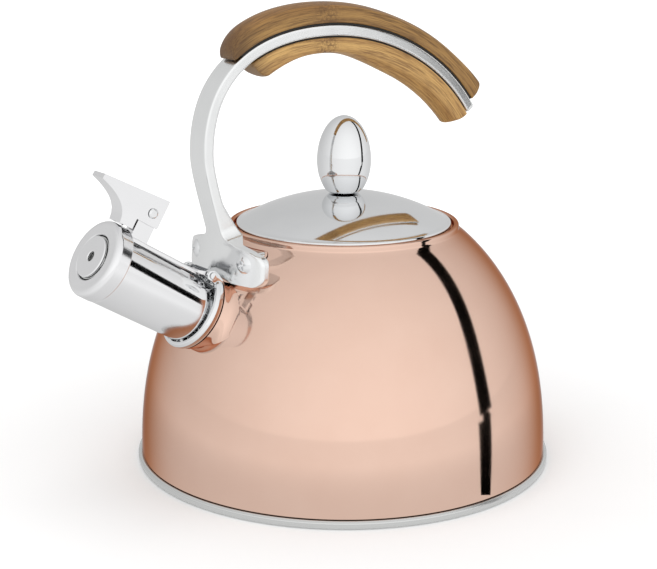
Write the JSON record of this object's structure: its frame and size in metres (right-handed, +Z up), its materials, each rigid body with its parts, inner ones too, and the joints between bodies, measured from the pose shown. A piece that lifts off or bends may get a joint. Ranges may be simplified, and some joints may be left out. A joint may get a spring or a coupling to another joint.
{
  "type": "stovetop whistling kettle",
  "caption": "Domed stovetop kettle with a short angled spout under a spring-loaded whistle cover, a lift-off knobbed lid and a cantilever strap handle with bamboo scales.",
  "frame": {"origin": "centre of the base's underside, on the body's axis", "axes": "+Z up along the body's axis, -X towards the spout, XZ is the plane the spout and handle lie in"},
  "size_m": [0.2424, 0.2, 0.2181],
  "materials": {
    "copper_finish": "polished stainless steel with a rose-copper coating",
    "polished_steel": "mirror-polished stainless steel",
    "satin_steel": "satin stainless steel",
    "core_aluminium": "plain",
    "bamboo": "laminated bamboo, satin lacquer",
    "spring_steel": "drawn wire"
  },
  "bodies": {
    "kettle": {"base_cap": "satin_steel", "base_core": "core_aluminium", "base_pan": "satin_steel", "body_shell": "copper_finish", "handle_bracket": "polished_steel", "handle_strap": "polished_steel", "bracket_screw_far": "polished_steel", "bracket_screw_near": "polished_steel", "grip_top": "bamboo", "grip_bottom": "bamboo", "grip_screw_front": "polished_steel", "grip_screw_rear": "polished_steel", "spout_neck": "copper_finish", "spout_collar": "polished_steel", "hinge_pin": "polished_steel", "hinge_spring": "spring_steel"},
    "whistle_cover": {"cover_tube": "polished_steel", "cover_cap": "polished_steel", "whistle_front": "polished_steel", "whistle_back": "satin_steel", "hinge_arm": "polished_steel", "lever": "polished_steel", "lever_rivet": "polished_steel"},
    "lid": {"lid_cover": "polished_steel", "lid_skirt": "satin_steel", "lid_knob": "polished_steel", "knob_screw": "polished_steel", "knob_washer": "satin_steel"}
  },
  "joints": [
    {"name": "cover_hinge", "type": "hinge", "parent": "kettle", "child": "whistle_cover", "pos_m": [-0.08037, 0, 0.10226], "axis": [0, 1, 0], "range_deg": [0, 25], "stiffness_Nm_per_rad": 0.06, "springref_deg": -28.65},
    {"name": "lid_lift", "type": "slide", "parent": "kettle", "child": "lid", "axis": [0, 0, 1], "range_m": [0, 0.02]}
  ]
}
